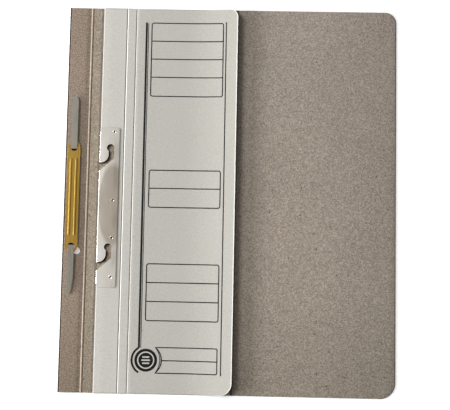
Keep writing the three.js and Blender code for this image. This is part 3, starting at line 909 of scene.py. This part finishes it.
def hookPlate():
    look = plateLook
    t = look["thickness"] * mm
    leafZ = plateTopZ - t
    lowZ = plateLow.z
    radius = (plateTopZ - lowZ) / 2
    cx, cz = plateLow.x + look["hemTuck"] * mm + radius, lowZ + radius
    hemX, steps = plateLow.x + look["hemWidth"] * mm, look["hemSteps"]
    outer = [(hemX, lowZ)] + arc(cx, cz, radius, 270, 90, steps)
    inner = [(hemX, lowZ + t)] + arc(cx, cz, radius - t, 270, 90, steps)
    rollX = plateHigh.x - look["rollWidth"] * mm
    flat = stations([cx, rollX], look["step"] * mm)[1:]
    flat += spread(rollX, plateHigh.x, look["rollStep"] * mm)[1:]
    outer += [(x, plateTopZ) for x in flat]
    inner += [(x, leafZ) for x in flat]

    def placed(line, y):
        return [(x, y, z + (plateBelly(x, y) if z > cz else 0.0)) for x, z in line]

    ys = stations([plateLow.y, plateHigh.y], look["step"] * mm)
    rows = [(placed(inner, y), placed(outer, y)) for y in ys]
    plate = closedSheet("hookPlate", rows, (hookSteel, hookSteel, hookSteel))
    corner = look["cornerRadius"] * mm
    notch, depth = look["hemEndNotch"] * mm, look["notchDepth"] * mm
    outside = plateLow.x - 1 * mm
    outline = [
        *arc(plateHigh.x - corner, plateLow.y + corner, corner, -90, 0, look["cornerSteps"]),
        *arc(plateHigh.x - corner, plateHigh.y - corner, corner, 0, 90, look["cornerSteps"]),
        (plateLow.x + depth, plateHigh.y), (plateLow.x + depth, plateHigh.y - notch),
        (outside, plateHigh.y - notch), (outside, plateLow.y + notch),
        (plateLow.x + depth, plateLow.y + notch), (plateLow.x + depth, plateLow.y),
    ]
    cut(plate, [prism(outline, -cutReach, cutReach, hookSteel)], "INTERSECT")
    hemEnds = []
    for low, high in ((plateHigh.y - notch, plateHigh.y + 1 * mm), (plateLow.y - 1 * mm, plateLow.y + notch)):
        right = plateLow.x + (look["hemWidth"] + 1) * mm
        corners = [(outside, low), (right, low), (right, high), (outside, high)]
        hemEnds.append(prism(corners, lowZ - 0.1 * mm, leafZ - layerGap, hookSteel))
    pipX, pipRadius = plateLow.x + look["pipInset"] * mm, look["pipHole"] * mm
    circles = [arc(pipX, y * mm, pipRadius, 0, 360, look["pipSides"])[:-1] for y in look["pipHeights"]]
    pipHoles = [prism(circle, leafZ - 0.1 * mm, cutReach, hookSteel) for circle in circles]
    cut(plate, hemEnds + pipHoles + hookSlotCutters(hookSteel), "DIFFERENCE")
    finishEdges(plate, 35)
    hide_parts("hook_plate")
    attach(plate, "folder_back")


def turnedPiece(name, profile, place, steps, materials, darkRings):
    # profile of (radius, height) from the axis outwards; the first darkRings of it take the second material
    bm = bmesh.new()
    rings = []
    for r, h in profile:
        if r == 0:
            rings.append([bm.verts.new((place[0], place[1], place[2] + h))] * steps)
        else:
            ring = arc(place[0], place[1], r, 0, 360, steps)[:-1]
            rings.append([bm.verts.new((x, y, place[2] + h)) for x, y in ring])
    for index, (inner, outer) in enumerate(zip(rings, rings[1:])):
        for i in range(steps):
            k = (i + 1) % steps
            corners = []
            for vert in (inner[i], outer[i], outer[k], inner[k]):
                if vert not in corners:
                    corners.append(vert)
            face = bm.faces.new(corners)
            face.smooth = True
            face.material_index = int(index < darkRings)
    return addObject(name, bm, materials)


def platePips():
    look = plateLook
    profile = [(r * mm, h * mm) for r, h in look["pipProfile"]]
    for index, y in enumerate(look["pipHeights"]):
        px, py = plateLow.x + look["pipInset"] * mm, y * mm
        place = (px, py, plateTopZ + plateBelly(px, py))
        # the pierced middle of each pip is painted shade
        steels, darkRings = (hookSteel, paintedShadeTin), look["pipDarkRings"]
        pip = turnedPiece(f"platePip{index + 1}", profile, place, look["pipSides"], steels, darkRings)
        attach(pip, "folder_back")


hookPlate()
platePips()
print("hook plate made")


# prongs and compressor bar come from their solids, with their edges rounded
fastenerLook = {
    "edges": {"prong_strip": 0.07, "compressor_bar": 0.08},
    "dome": {"prong_strip": 0.0, "compressor_bar": 0.22},   # fall from the middle to the long sides
    "domeDepth": 0.5,      # only what is this near the top bends down
    "paintedShadeBelow": 0.6,   # height over the table, below which faces take painted shade
    "bevelSegments": 2, "bevelAngle": 35, "flatWeight": 90,
}


def domed(piece, fall):
    xs = [vert.co.x for vert in piece.data.vertices]
    topZ = max(vert.co.z for vert in piece.data.vertices)
    centre, half = (min(xs) + max(xs)) / 2, (max(xs) - min(xs)) / 2
    for vert in piece.data.vertices:
        if vert.co.z > topZ - fastenerLook["domeDepth"] * mm:
            vert.co.z -= fall * ((vert.co.x - centre) / half) ** 2


def roundedCopy(node, name, materials):
    # materials = (what shows, what lies under the tab, which for the prongs is painted shade)
    source = frame["nodes"][node]
    piece = bpy.data.objects.new(name, source.data.copy())
    bpy.context.scene.collection.objects.link(piece)
    piece.data.transform(source.matrix_world)
    bm = bmesh.new()
    bm.from_mesh(piece.data)
    bmesh.ops.remove_doubles(bm, verts=bm.verts, dist=0.001 * mm)
    bmesh.ops.dissolve_limit(bm, angle_limit=math.radians(1), verts=bm.verts, edges=bm.edges)
    bm.to_mesh(piece.data)
    bm.free()
    domed(piece, fastenerLook["dome"][node] * mm)
    bevel = piece.modifiers.new("edges", "BEVEL")
    bevel.width = fastenerLook["edges"][node] * mm
    bevel.segments = fastenerLook["bevelSegments"]
    bevel.limit_method = "ANGLE"
    bevel.angle_limit = math.radians(fastenerLook["bevelAngle"])
    bevel.use_clamp_overlap = True
    for polygon in piece.data.polygons:
        polygon.use_smooth = True
    piece.modifiers.new("flatFaces", "WEIGHTED_NORMAL").weight = fastenerLook["flatWeight"]
    applyModifiers(piece)
    piece.data.materials.clear()
    for material in materials:
        piece.data.materials.append(material)
    for polygon in piece.data.polygons:
        polygon.material_index = int(polygon.center.z < fastenerLook["paintedShadeBelow"] * mm)
    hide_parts(node)
    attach(piece, "folder_back")


roundedCopy("prong_strip", "fastenerProngs", (prongTin, paintedShadeTin))
roundedCopy("compressor_bar", "fastenerBar", (barBrass, barBrass))
print("fastener made")


floorLook = {"size": 4.0, "colour": "#f4f4f4", "roughness": 0.9, "glow": 0.3}


def paleFloor():
    # white table: it takes the folder's shadow and still shows as white
    look = floorLook
    half = look["size"] / 2
    bm = bmesh.new()
    bm.faces.new([bm.verts.new((x * half, y * half, 0)) for x, y in ((-1, -1), (1, -1), (1, 1), (-1, 1))])
    material, tree, shader = newMaterial("whiteTable")
    shader.inputs["Base Color"].default_value = linearFromHex(look["colour"])
    shader.inputs["Roughness"].default_value = look["roughness"]
    ray = addNode(tree, "ShaderNodeLightPath")
    seen = addNode(tree, "ShaderNodeMath", settings={"operation": "MAXIMUM"},
                   links={0: ray.outputs["Is Camera Ray"], 1: ray.outputs["Is Glossy Ray"]})
    strength = addNode(tree, "ShaderNodeMath", settings={"operation": "MULTIPLY"}, inputs={1: look["glow"]},
                       links={0: seen.outputs["Value"]})
    shader.inputs["Emission Color"].default_value = (1, 1, 1, 1)
    tree.links.new(strength.outputs["Value"], shader.inputs["Emission Strength"])
    addObject("tableTop", bm, [material])


lightLook = {
    "keyPlace": (-1.55, 0.8, 1.08), "keySize": (0.75, 0.75), "keyPower": 34.0,
    "lowPlace": (-1.88, -0.3, 0.38), "lowSize": (1.2, 0.35), "lowPower": 62.0,
    "fillPlace": (1.2, -1.2, 1.6), "fillSize": (1.0, 1.0), "fillPower": 4.0,
    "zenith": "#fbf8f4", "horizon": "#f4f4f4", "worldStrength": 0.23,
    "mirror": [(0.3, "#ffffff"), (0.4, "#f8f6f3"), (0.47, "#c9c5be"), (0.62, "#8d8981")],
}


def areaLight(name, place, size, power):
    # a softbox that faces the middle of the folder
    data = bpy.data.lights.new(name, "AREA")
    data.shape = "RECTANGLE"
    data.size, data.size_y = size
    data.energy = power
    lamp = bpy.data.objects.new(name, data)
    lamp.location = place
    lamp.rotation_euler = (-Vector(place)).to_track_quat("-Z", "Y").to_euler()
    bpy.context.scene.collection.objects.link(lamp)


def studioLight():
    look = lightLook
    areaLight("keySoftbox", look["keyPlace"], look["keySize"], look["keyPower"])
    areaLight("lowSoftbox", look["lowPlace"], look["lowSize"], look["lowPower"])
    areaLight("fillSoftbox", look["fillPlace"], look["fillSize"], look["fillPower"])
    world = bpy.data.worlds.new("studio")
    bpy.context.scene.world = world
    world.use_nodes = True
    tree = world.node_tree
    background = tree.nodes["Background"]
    direction = addNode(tree, "ShaderNodeTexCoord").outputs["Generated"]
    axes = addNode(tree, "ShaderNodeSeparateXYZ", links={"Vector": direction})
    sky = addRamp(tree, axes.outputs["Z"], [
        (0.15, linearFromHex(look["horizon"])), (0.95, linearFromHex(look["zenith"]))])
    # metal mirrors a studio that is pale on the window side and dim on the other; the camera sees white
    side = addNode(tree, "ShaderNodeMath", settings={"operation": "MULTIPLY_ADD"}, inputs={1: 0.5, 2: 0.5},
                   links={0: axes.outputs["X"]})
    mirror = addRamp(tree, side.outputs["Value"], [(at, linearFromHex(hue)) for at, hue in look["mirror"]])
    ray = addNode(tree, "ShaderNodeLightPath")
    through = addNode(tree, "ShaderNodeMath", settings={"operation": "MAXIMUM"},
                      links={0: ray.outputs["Is Glossy Ray"], 1: ray.outputs["Is Transmission Ray"]})
    seen = addNode(tree, "ShaderNodeMath", settings={"operation": "MAXIMUM"},
                   links={0: ray.outputs["Is Camera Ray"], 1: through.outputs["Value"]})
    shown = mixed(tree, mirror.outputs["Color"], grey(1.0), ray.outputs["Is Camera Ray"])
    colour = mixed(tree, sky.outputs["Color"], shown, seen.outputs["Value"])
    strength = addNode(tree, "ShaderNodeMath", settings={"operation": "MULTIPLY_ADD"},
                       inputs={1: 1 - look["worldStrength"], 2: look["worldStrength"]},
                       links={0: seen.outputs["Value"]})
    tree.links.new(colour, background.inputs["Color"])
    tree.links.new(strength.outputs["Value"], background.inputs["Strength"])


# the photograph is 450 by 410 and looks down a little from below the folder's middle
cameraLook = {
    "place": (3.65, -42.69, 560.5), "turn": (3.916, 0.658, 1.107), "lens": 56.0, "sensor": 36.0,
    "nearClip": 0.01,
}


def photoCamera():
    look = cameraLook
    data = bpy.data.cameras.new("photoCamera")
    data.lens = look["lens"]
    data.sensor_width = look["sensor"]
    data.sensor_fit = "HORIZONTAL"
    data.clip_start = look["nearClip"]
    camera = bpy.data.objects.new("photoCamera", data)
    camera.location = [v * mm for v in look["place"]]
    camera.rotation_euler = [math.radians(v) for v in look["turn"]]
    bpy.context.scene.collection.objects.link(camera)
    bpy.context.scene.camera = camera


paleFloor()
studioLight()
photoCamera()
bpy.context.scene.view_settings.view_transform = "Standard"
print("floor, light and camera set")
